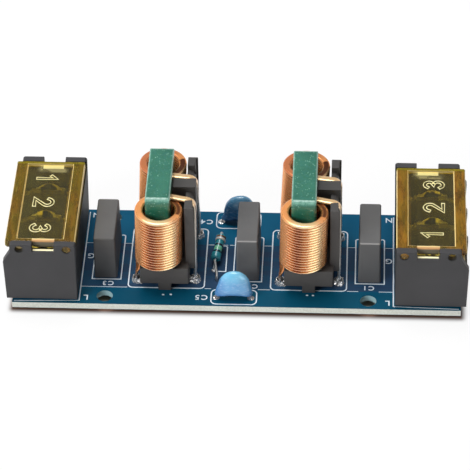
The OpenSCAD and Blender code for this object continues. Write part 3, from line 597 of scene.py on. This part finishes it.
def wire_tree():
    """Geometry Nodes that sweep a rolled wire, flat with full edges, along a path of edges."""
    tree = bpy.data.node_groups.new("flat_wire", "GeometryNodeTree")
    face = tree.interface
    face.new_socket("Path", in_out="INPUT", socket_type="NodeSocketGeometry")
    for name in ("Wire width", "Wire thickness"):
        face.new_socket(name, in_out="INPUT", socket_type="NodeSocketFloat")
    face.new_socket("Finish", in_out="INPUT", socket_type="NodeSocketMaterial")
    face.new_socket("Wire", in_out="OUTPUT", socket_type="NodeSocketGeometry")

    def add(kind, **settings):
        made = tree.nodes.new(kind)
        for key, value in settings.items():
            setattr(made, key, value)
        return made

    start, end = add("NodeGroupInput"), add("NodeGroupOutput")
    line = add("GeometryNodeMeshToCurve")
    across = add("GeometryNodeInputNamedAttribute", data_type="FLOAT_VECTOR")
    across.inputs["Name"].default_value = "across"
    turn = add("GeometryNodeSetCurveNormal", mode="FREE")
    circle = add("GeometryNodeCurvePrimitiveCircle")
    circle.inputs["Resolution"].default_value = 20
    circle.inputs["Radius"].default_value = 0.5
    spot, parts = add("GeometryNodeInputPosition"), add("ShaderNodeSeparateXYZ")
    height, double, full, wide, high = [add("ShaderNodeMath", operation=kind)
                                        for kind in ("ABSOLUTE", "MULTIPLY", "MULTIPLY", "MULTIPLY", "MULTIPLY")]
    flat, size, section = add("ShaderNodeClamp"), add("ShaderNodeCombineXYZ"), add("GeometryNodeSetPosition")
    double.inputs[1].default_value, full.inputs[1].default_value = 2, 1.25
    flat.inputs["Min"].default_value, flat.inputs["Max"].default_value = -0.5, 0.5
    keep = add("GeometryNodeStoreNamedAttribute", data_type="FLOAT", domain="POINT")
    keep.inputs["Name"].default_value = "flank"
    sweep = add("GeometryNodeCurveToMesh")
    sweep.inputs["Fill Caps"].default_value = True
    smooth = add("GeometryNodeSetShadeSmooth")
    real = add("GeometryNodeRealizeInstances")
    finish = add("GeometryNodeSetMaterial")
    join = tree.links.new
    join(start.outputs["Path"], line.inputs["Mesh"])
    join(line.outputs["Curve"], turn.inputs["Curve"])
    join(across.outputs["Attribute"], turn.inputs["Normal"])
    join(spot.outputs["Position"], parts.inputs[0])
    join(parts.outputs["X"], wide.inputs[0])
    join(start.outputs["Wire width"], wide.inputs[1])
    join(parts.outputs["Y"], full.inputs[0])
    join(full.outputs[0], flat.inputs["Value"])
    join(flat.outputs[0], high.inputs[0])
    join(start.outputs["Wire thickness"], high.inputs[1])
    join(wide.outputs[0], size.inputs[0])
    join(high.outputs[0], size.inputs[1])
    join(parts.outputs["Y"], height.inputs[0])
    join(height.outputs[0], double.inputs[0])
    join(circle.outputs["Curve"], keep.inputs["Geometry"])
    join(double.outputs[0], keep.inputs["Value"])
    join(keep.outputs["Geometry"], section.inputs["Geometry"])
    join(size.outputs[0], section.inputs["Position"])
    join(turn.outputs["Curve"], sweep.inputs["Curve"])
    join(section.outputs["Geometry"], sweep.inputs["Profile Curve"])
    join(sweep.outputs["Mesh"], smooth.inputs["Geometry"])
    join(smooth.outputs["Geometry"], real.inputs["Geometry"])
    join(real.outputs["Geometry"], finish.inputs["Geometry"])
    join(start.outputs["Finish"], finish.inputs["Material"])
    join(finish.outputs["Geometry"], end.inputs["Wire"])
    return tree


def grown(name, mesh, tree, values):
    """Runs a Geometry Nodes tree on a mesh and returns the result as a plain piece."""
    seed = bpy.data.objects.new(name + "_seed", mesh)
    bpy.context.scene.collection.objects.link(seed)
    modifier = seed.modifiers.new("grow", "NODES")
    modifier.node_group = tree
    for item in tree.interface.items_tree:
        if item.in_out == "INPUT" and item.name in values:
            modifier[item.identifier] = values[item.name]
    bpy.context.view_layer.update()
    graph = bpy.context.evaluated_depsgraph_get()
    result = bpy.data.meshes.new_from_object(seed.evaluated_get(graph), preserve_all_data_layers=True, depsgraph=graph)
    bpy.data.objects.remove(seed)
    result.name = name
    return as_piece(name, result, None)


def winding(side, end, tree):
    """One winding, with how tinned it is, its painted highlights, painted dark reflection and painted shade between its
    turns, and how metallic it is, set along its wire.
    """
    flip = -ENDS[end]
    path, first_turn, last_turn = winding_path(end)
    mesh = bpy.data.meshes.new("path")
    points = [Vector((p.x + SIDES[side] * CHOKE_X, p.y * flip, p.z + DECK)) * MM for p, _, _ in path]
    mesh.from_pydata(points, [(k, k + 1) for k in range(len(path) - 1)], [])
    across = mesh.attributes.new("across", "FLOAT_VECTOR", "POINT")
    across.data.foreach_set("vector", [c for _, a, _ in path for c in (a.x, a.y * flip, a.z)])
    levels = {name: [] for name in WIRE_LEVELS}
    for k, (place, spoke, tin) in enumerate(path):
        way = math.degrees(math.atan2(spoke.x, -spoke.y * flip))

        def near(middle, width):
            return math.exp(-((way - middle) / width) ** 2)

        # Painted light and shade set along the wire: a highlight all along the upper end; on the top ring a highlight
        # at the front of front windings and at the right of back ones; on the front turns a highlight right of their
        # front, a dark reflection just left of it and deeper shade between the turns there; on the back turns a
        # highlight at their right.
        if k < first_turn:
            made = (-0.35, -1, 0.85)  # pale, groove and metal
        elif k >= last_turn:
            made = (0.8, -1, 0.5)
        elif place.z > COIL_HIGH - 0.5:
            made = (1.1 * near(0, 45) - 0.05 if end == "front" else 1.1 * near(75, 50) - 0.6, -0.6, 0.5)
        elif end == "front":
            made = (1.1 * near(34, 24) - 0.75 * near(-14, 15) + 0.15 * near(-60, 25), 0.3 + 0.35 * near(-8, 25),
                    0.85 - 0.15 * near(-60, 30))
        else:
            made = (0.9 * near(60, 30) - 0.2, 0.6, 0.85)
        for name, value in zip(WIRE_LEVELS, (tin, *made)):
            levels[name].append(value)
    for name, values in levels.items():
        mesh.attributes.new(name, "FLOAT", "POINT").data.foreach_set("value", values)
    values = {"Wire width": WIRE_W * MM, "Wire thickness": WIRE_T * MM, "Finish": COPPER}
    piece = grown(f"winding_{end}_{side}", mesh, tree, values)
    dress(piece, COPPER)
    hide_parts(f"coil_{end}_{side}")


flat_wire = wire_tree()
for side in SIDES:
    for end in ENDS:
        winding(side, end, flat_wire)


# Print on the board

PRINT_T = 0.03
BACK_STRETCHES = ((-35, -32.8), (-26.2, -24.6), (-7.2, -2.6), (-2.2, -1.0), (5.5, 7.4), (24.7, 26.4), (33.1, 35))
FRONT_STRETCHES = ((-35, -24.6), (-7.2, -5.8), (4.7, 7.4), (24.7, 27.2), (31.8, 35))
BLOCK_LINE = 35.05  # beside the blocks
CAPITAL, BOLDER = 0.7, 0.03  # a capital's height as a share of the letters' size, and how far strokes are pushed out
BOARD_WORDS = (("N", -33.5, 14.3, 1.6), ("G", -33.6, 0, 1.6), ("L", -33.6, -14.1, 1.6), ("N", 34.0, 14.3, 1.6),
               ("G", 34.0, 0, 1.6), ("L", 33.8, -14.1, 1.6), ("C3", -29.0, -9.2, 1.35), ("C1", 29.5, -9.25, 1.35),
               ("C5", -7.8, -13.4, 1.5), ("C4", -7.9, 12.6, 1.5), ("C2", 3.4, -9.4, 1.35))


def ribbon(shape, points, width, closed=False):
    """A flat line of print through points in millimetres."""
    points = [Vector(p) for p in points]
    count = len(points)
    rows = []
    for k, p in enumerate(points):
        before = points[k - 1] if k or closed else None
        after = points[(k + 1) % count] if k < count - 1 or closed else None
        ways = [(b - a).normalized() for a, b in ((before, p), (p, after)) if a is not None and b is not None]
        normals = [Vector((-w.y, w.x)) for w in ways]
        across = sum(normals, Vector((0, 0))).normalized()
        reach = width / 2 / max(0.4, across.dot(normals[0]))
        row = []
        for offset, z in ((-reach, -0.01), (reach, -0.01), (reach, PRINT_T), (-reach, PRINT_T)):
            q = p + across * offset
            row.append(shape.verts.new((q.x * MM, q.y * MM, (DECK + z) * MM)))
        rows.append(row)
    links = zip(rows, rows[1:] + rows[:1]) if closed else zip(rows, rows[1:])
    for one, other in links:
        for k in range(4):
            shape.faces.new((one[k], one[(k + 1) % 4], other[(k + 1) % 4], other[k]))
    if not closed:
        shape.faces.new(rows[0])
        shape.faces.new(rows[-1][::-1])


def rounded_box(x0, x1, y0, y1, radius):
    """Corner points of a rounded rectangle."""
    points = []
    corners = ((x1 - radius, y1 - radius, 0), (x0 + radius, y1 - radius, 90), (x0 + radius, y0 + radius, 180),
               (x1 - radius, y0 + radius, 270))
    for x, y, start in corners:
        for k in range(5):
            a = math.radians(start + 90 * k / 4)
            points.append((x + radius * math.cos(a), y + radius * math.sin(a)))
    return points


def hooked(x0, x1, y0, y1, hook, cut=0.3):
    """A rectangle open at the back, whose sides end in short inward hooks."""
    return [(x0 + hook, y1), (x0 + cut, y1), (x0, y1 - cut), (x0, y0), (x1, y0), (x1, y1 - cut), (x1 - cut, y1),
            (x1 - hook, y1)]


def print_lines():
    """Outlines of the parts, long lines between them and small marks."""
    shape = bmesh.new()
    for x0, x1 in ((-24.46, -7.35), (7.53, 24.56)):
        ribbon(shape, rounded_box(x0, x1, -10.5, 9.98, 1.0), 0.28, True)
    for x0, x1 in ((-32.73, -26.25), (-0.95, 5.45), (26.49, 33.0)):
        ribbon(shape, hooked(x0, x1, -7.89, 7.3, 0.8), 0.26)
    ribbon(shape, hooked(-5.5, -2.75, -4.6, 4.1, 0.9), 0.26)
    ribbon(shape, rounded_box(-5.62, 4.54, -15.6, -10.75, 1.2), 0.26, True)
    ribbon(shape, rounded_box(-5.64, 4.5, 10.35, 15.98, 1.2), 0.26, True)
    for y, stretches in zip(COPPER_LINES, (FRONT_STRETCHES, BACK_STRETCHES)):
        for x0, x1 in stretches:
            ribbon(shape, [(x0, y), (x1, y)], 0.14)
    for side in SIDES.values():
        ribbon(shape, [(side * BLOCK_LINE, -15.3), (side * BLOCK_LINE, 15.3)], 0.26)
        ribbon(shape, [(side * BLOCK_LINE, -15.3), (side * 49.6, -15.75)], 0.16)
    for x, y in ((-16.4, -12.8), (-14.7, -12.7), (15.8, -12.1), (17.1, -12.1)):
        ribbon(shape, [(x - 0.25, y), (x + 0.25, y)], 0.4)
    dress(from_bmesh("print_lines", shape, None), PRINT)


def lettering(name, words, finish):
    """Letters on the board as one mesh, to be read from behind. Each word is (text, x, y, height in mm)."""
    shape = bmesh.new()
    for text, x, y, height in words:
        curve = bpy.data.curves.new("word", "FONT")
        curve.body, curve.align_x, curve.align_y = text, "CENTER", "CENTER"
        curve.size = height / CAPITAL * MM
        curve.extrude, curve.offset, curve.space_character = PRINT_T * MM, BOLDER * MM, 1.3
        holder = bpy.data.objects.new("word", curve)
        bpy.context.scene.collection.objects.link(holder)
        bpy.context.view_layer.update()
        graph = bpy.context.evaluated_depsgraph_get()
        mesh = bpy.data.meshes.new_from_object(holder.evaluated_get(graph))
        mesh.transform(Matrix.Translation(Vector((x, y, DECK)) * MM) @ Matrix.Rotation(math.pi, 4, "Z"))
        shape.from_mesh(mesh)
        bpy.data.objects.remove(holder)
        bpy.data.meshes.remove(mesh)
    bmesh.ops.remove_doubles(shape, verts=shape.verts, dist=0.001 * MM)
    dress(from_bmesh(name, shape, None), finish)


print_lines()
lettering("print_letters", BOARD_WORDS, PRINT)


# Numbers and tongues of the covers


def arc(x, y, radius, start, stop, steps=14):
    """Points on an arc, in degrees."""
    return [(x + radius * math.cos(math.radians(start + (stop - start) * k / steps)),
             y + radius * math.sin(math.radians(start + (stop - start) * k / steps))) for k in range(steps + 1)]


DIGITS = {
    "1": [(-0.8, 1.2), (0.1, 2.1), (0.1, -2.1)],
    "2": arc(0, 0.95, 1.2, 165, -38) + [(-1.2, -2.1), (1.25, -2.1)],
    "3": arc(0, 1.1, 1.0, 155, -80) + [(-0.1, 0.08)] + arc(0, -1.0, 1.12, 80, -155),
}


def outlined(points, half):
    """The closed outline at a distance of half round an open stroke."""
    points = [Vector(p) for p in points]
    left, right = [], []
    for k, p in enumerate(points):
        ways = [(b - a).normalized() for a, b in zip(points[max(0, k - 1):k + 1], points[max(0, k - 1) + 1:k + 2])]
        normals = [Vector((-w.y, w.x)) for w in ways]
        across = sum(normals, Vector((0, 0))).normalized()
        reach = half / max(0.55, across.dot(normals[0]))
        end = (0 if 0 < k < len(points) - 1 else half * 0.9) * (ways[0] if k else -ways[0])
        left.append(p + across * reach + end)
        right.append(p - across * reach + end)
    return left + right[::-1]


def bead(shape, points, radius):
    """A round bead along a loop of points."""
    rows, count, up = [], len(points), Vector((0, 0, 1))
    for k, p in enumerate(points):
        ways = [(p - points[k - 1]).normalized(), (points[(k + 1) % count] - p).normalized()]
        across = up.cross(ways[0] + ways[1]).normalized()
        across = across / max(0.5, across.dot(up.cross(ways[0]).normalized()))
        row = []
        for turn in range(6):
            a = math.radians(60 * turn)
            q = p + (across * math.cos(a) + up * math.sin(a)) * radius
            row.append(shape.verts.new(q * MM))
        rows.append(row)
    for one, other in zip(rows, rows[1:] + rows[:1]):
        for k in range(6):
            shape.faces.new((one[k], one[(k + 1) % 6], other[(k + 1) % 6], other[k]))
    bmesh.ops.recalc_face_normals(shape, faces=shape.faces)


PANEL_Z = DECK + 15.6
NUMBERS = {"left": ((("1", -43.6, 8.4), ("2", -43.6, 0.05), ("3", -43.5, -8.8)), -90),
           "right": ((("3", 43.75, 8.5), ("2", 43.75, 0.6), ("1", 43.35, -8.45)), 90)}
NUMBER_SCALE, HALF_STROKE, RIDGE_R = 0.95, 0.38, 0.115


def cover_numbers(side, digits, turn):
    """Numbers drawn in outline as ridges on a cover's panel, coloured pale as painted highlight."""
    ridges = bmesh.new()
    spin = Matrix.Rotation(math.radians(turn), 2)
    for digit, x, y in digits:
        line = [spin @ p * NUMBER_SCALE for p in outlined(DIGITS[digit], HALF_STROKE)]
        bead(ridges, [Vector((x + p.x, y + p.y, PANEL_Z)) for p in line], RIDGE_R)
    dress(from_bmesh(f"cover_numbers_{side}", ridges, 60), RIDGE, f"{side}_cover")


def cover_tongue(side, end):
    """The narrow tongue that hangs from a cover's end in the finger notch."""
    tongue = bmesh.new()
    for x in NOTCH:
        for y in TONGUE_Y:
            for z in TONGUE_Z:
                tongue.verts.new(Vector((SIDES[side] * x, ENDS[end] * y, DECK + z)) * MM)
    bmesh.ops.convex_hull(tongue, input=tongue.verts)
    bmesh.ops.dissolve_limit(tongue, angle_limit=0.01, verts=tongue.verts, edges=tongue.edges)
    bmesh.ops.bevel(tongue, geom=tongue.edges, offset=0.08 * MM, segments=2, profile=0.5, affect="EDGES")
    dress(from_bmesh(f"cover_tongue_{side}_{end}", tongue), AMBER, f"{side}_cover")


for side in SIDES:
    cover_numbers(side, *NUMBERS[side])
for side in SIDES:
    for end in ENDS:
        cover_tongue(side, end)


# Coated discs

DISC_MID = 3.7  # above the board
DISC_COUNT = 72
DISC_SHARES = [math.sin(math.radians(a)) for a in (8, 18, 30, 42, 54, 64, 73, 81, 86, 90)]
DISCS = {
    "front": (-0.4, [(-5.05, 0.4), (-4.75, 1.6), (-4.4, 3.1), (-3.5, 5.8), (-2.4, 7.1), (-1.2, 7.65), (0, 7.74),
                     (1.1, 7.5), (2.3, 6.5), (3.0, 5.3), (3.3, 3.7), (3.55, 2.4), (3.75, 1.1), (3.5, 0.35),
                     (1.8, 0.7), (-0.5, 0.85), (-3.0, 0.6)]),
    "back": (-0.3, [(-5.0, 0.4), (-4.35, 1.5), (-3.95, 2.8), (-3.85, 4.0), (-3.4, 5.6), (-2.4, 6.95), (-1.0, 7.6),
                    (0.4, 7.74), (1.4, 7.5), (2.3, 6.8), (3.0, 5.4), (3.35, 3.7), (3.6, 2.0), (3.7, 0.9),
                    (3.3, 0.4), (1.8, 0.7), (-0.5, 0.85), (-3.0, 0.6)]),
}


def disc(end, middle, outline):
    """A dipped disc, round above and drawn down over its two leads. Its outline is (x, height) in millimetres."""
    low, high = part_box(f"disc_{end}")
    y, half = (low.y + high.y) / 2 / MM, (high.y - low.y) / 2 / MM
    count = DISC_COUNT
    centre = Vector((middle, DISC_MID))
    loop = []
    for k in range(count):
        a = 2 * math.pi * k / count
        ray = Vector((math.cos(a), math.sin(a)))
        reach = 0
        for one, other in zip(outline, outline[1:] + outline[:1]):
            p, q = Vector(one) - centre, Vector(other) - centre
            cross = ray.x * (q - p).y - ray.y * (q - p).x
            if abs(cross) > 1e-9:
                t = (p.x * (q - p).y - p.y * (q - p).x) / cross
                u = (p.x * ray.y - p.y * ray.x) / cross
                if t > 0 and -1e-6 <= u <= 1 + 1e-6:
                    reach = max(reach, t)
        loop.append(ray * reach)
    for _ in range(2):
        loop = [loop[k - 1] * 0.25 + loop[k] * 0.5 + loop[(k + 1) % count] * 0.25 for k in range(count)]
    shape = bmesh.new()
    rows = []
    for face, shares in ((-1, DISC_SHARES), (1, DISC_SHARES[-2::-1])):
        for share in shares:
            deep = half * math.sqrt(max(0, 1 - share ** 2)) ** 0.9
            rows.append([])
            for p in loop:
                q = centre + p * share
                thin = 1 - 0.35 * max(0, min(1, 1 - q.y / 1.6))
                rows[-1].append(shape.verts.new(Vector((q.x, y + face * deep * thin, DECK + q.y)) * MM))
    for one, other in zip(rows, rows[1:]):
        for k in range(count):
            shape.faces.new((one[k], one[(k + 1) % count], other[(k + 1) % count], other[k]))
    for row, face in ((rows[0], -1), (rows[-1], 1)):
        tip = shape.verts.new(Vector((centre.x, y + face * half, DECK + centre.y)) * MM)
        for k in range(count):
            shape.faces.new((row[k], row[(k + 1) % count], tip))
    bmesh.ops.recalc_face_normals(shape, faces=shape.faces)
    piece = from_bmesh(f"disc_{end}_dipped", shape, 180)
    dress(piece, BLUE)
    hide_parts(f"disc_{end}")


for end, (middle, outline) in DISCS.items():
    disc(end, middle, outline)


# Solder on the board

DISC_LINES, DISC_PADS = (-13.4, 12.7), (-4.5, 3.3)
RESISTOR_ENDS = (-4.3, 5.55)


def blob(shape, x, y, z, radius, height, seed, rough=0.4):
    """A lump of crumpled solder on the board."""
    made = bmesh.ops.create_icosphere(shape, subdivisions=4, radius=1)["verts"]
    for vert in made:
        p = vert.co.copy()
        wave = noise.fractal(p * 1.7 + Vector((seed * 7.3, seed * 3.1, seed)), 0.8, 2.2, 4)
        fold = abs(noise.noise(p * 3.1 + Vector((seed, 2 * seed, 3 * seed))))
        size = 1 + rough * (wave - 0.6 * fold)
        vert.co = Vector((x + p.x * radius * size, y + p.y * radius * size, DECK + z + p.z * height * size)) * MM


def ring_pad(shape, x, y, radius):
    """A thin tinned pad, a little domed towards its middle."""
    steps = 20
    rows = []
    for share, z in ((1, -0.02), (1, 0.03), (0.85, 0.07), (0.4, 0.1)):
        rows.append([shape.verts.new(Vector((x + radius * share * math.cos(2 * math.pi * k / steps),
                                             y + radius * share * math.sin(2 * math.pi * k / steps), DECK + z)) * MM)
                     for k in range(steps)])
    for one, other in zip(rows, rows[1:]):
        for k in range(steps):
            shape.faces.new((one[k], one[(k + 1) % steps], other[(k + 1) % steps], other[k]))
    shape.faces.new(rows[0][::-1])
    shape.faces.new(rows[-1])


def solder():
    """Lumps at the windings' four feet a choke, pads under the discs and flat lumps at the resistor."""
    shape = bmesh.new()
    seed = 0
    for side in SIDES.values():
        for end in ENDS.values():
            x, y = side * CHOKE_X + OUTER_FOOT[0] - 0.45, end * 8.0
            blob(shape, x, y, 0.55, 1.02, 1.1, seed)
            blob(shape, x + 0.35, y + end * 0.1, 1.4, 0.55, 0.7, seed + 1)
            x, y = side * CHOKE_X + INNER_FOOT[0] + 0.1, end * (0.4 - INNER_FOOT[1])
            blob(shape, x, y, 0.1, 0.45, 0.35, seed + 2)
            blob(shape, x + 0.6, y + end * 0.6, 0.05, 0.25, 0.2, seed + 2)
            seed += 3
    for y in DISC_LINES:
        for x in DISC_PADS:
            ring_pad(shape, x, y, 0.78)
    for y in RESISTOR_ENDS:
        x = RESISTOR_MID.x - math.sin(RESISTOR_TURN) * (y - RESISTOR_MID.y) * 0.98
        blob(shape, x, y, 0.05, 0.6, 0.28, seed, 0.15)
        seed += 1
    bmesh.ops.recalc_face_normals(shape, faces=shape.faces)
    dress(from_bmesh("solder_lumps", shape, 60), SOLDER)


solder()


# Stage, light and camera


def stage():
    """A pale floor that is white where it is seen, with the object's shadow, painted brown shade under the board and
    painted light under its mounting holes.
    """
    shape = bmesh.new()
    bmesh.ops.create_grid(shape, size=2.5)
    floor = from_bmesh("floor", shape, None)
    f = Finish("floor")
    x, y = abs(f.x / MM), f.y / MM
    # Painted brown shade on the floor under the board, where the white glow is left out.
    under = x.rise(52, 50) * abs(y).rise(17, 15)
    paper = f.mix(under, (0.96, 0.96, 0.96, 1), tone(124, 94, 80))
    # Painted light on the floor under the mounting holes.
    holes = x.band(26.5, 32.4, 0.5) * y.band(-12.5, -7, 0.5)
    paper = f.mix(holes, paper, tone(196, 190, 170))
    matt = f.node("BsdfDiffuse", {}, {"Color": paper})
    glow = f.node("Emission", {}, {"Color": (1, 1, 1, 1), "Strength": 1})
    f.node_out(f.node("MixShader", {}, {0: f.seen() * (1 - under) * 0.86, 1: matt, 2: glow}))
    floor.data.materials.append(f.material)


def sky():
    """White where it is seen, dimmer above where it is mirrored, and a dim even light for everything else."""
    f = Finish("studio", bpy.data.worlds, "Generated")
    bpy.context.scene.world = f.material
    toward = tuple(Vector((-0.42, -0.82, 0.38)).normalized())
    patch = f.node("VectorMath", {"operation": "DOT_PRODUCT"}, {0: f.point, 1: toward}, "Value").rise(0.8, 0.95)
    dimmer = (1 - 0.7 * f.z.rise(0.1, 0.55)) * (1 - 0.95 * patch)
    white = f.node("Background", {}, {"Color": (1, 1, 1, 1), "Strength": 1 - f.ray("Glossy") * (1 - dimmer)})
    dim = f.node("Background", {}, {"Color": (0.97, 0.985, 1, 1), "Strength": 0.16})
    f.node_out(f.node("MixShader", {}, {0: f.seen(), 1: dim, 2: white}), "World")


def lamp(name, place, aim, size, share, lights=True, mirrored=True):
    """A soft lamp that alone would light a facing surface to share of its own colour."""
    data = bpy.data.lights.new(name, "AREA")
    data.shape, data.size = "SQUARE", size
    way = Vector(place) - Vector(aim)
    data.energy = share * 4 * math.pi * way.length_squared
    holder = bpy.data.objects.new(name, data)
    bpy.context.scene.collection.objects.link(holder)
    holder.visible_diffuse, holder.visible_glossy = lights, mirrored
    holder.location = place
    holder.rotation_mode = "QUATERNION"
    holder.rotation_quaternion = way.to_track_quat("Z", "Y")


def camera():
    """The photograph's camera, fitted to the board's edges and the blocks."""
    elevation, yaw, roll = 0.710851, 0.056049, -0.017666  # radians
    across, rise, distance = -0.861751, 5.301011, 632.218431  # from the middle of the board's top
    right = Vector((math.cos(yaw), math.sin(yaw), 0))
    level = Vector((-math.sin(yaw), math.cos(yaw), 0))
    ahead = level * math.cos(elevation) - Vector((0, 0, math.sin(elevation)))
    up = level * math.sin(elevation) + Vector((0, 0, math.cos(elevation)))
    side = right * math.cos(roll) + up * math.sin(roll)
    top = up * math.cos(roll) - right * math.sin(roll)
    axes = Matrix((side, top, -ahead)).transposed()
    data = bpy.data.cameras.new("camera")
    data.sensor_width, data.lens = 36, 213.35
    data.clip_start, data.clip_end = 0.01, 20
    holder = bpy.data.objects.new("camera", data)
    bpy.context.scene.collection.objects.link(holder)
    place = axes @ Vector((across, rise, distance)) + Vector((0, 0, DECK))
    holder.matrix_world = Matrix.Translation(place * MM) @ axes.to_4x4()
    bpy.context.scene.camera = holder


stage()
sky()
lamp("top_lamp", (-0.15, 0.2, 1.2), (0, 0, 0), 0.8, 0.66)
lamp("front_lamp", (-0.85, -0.76, 0.6), (0, 0, 0.01), 0.5, 0.5, mirrored=False)
lamp("right_sheet", (0.8, -0.75, 0.4), (0, 0, 0.01), 0.8, 0.22, lights=False)
camera()
bpy.context.scene.view_settings.view_transform = "Standard"
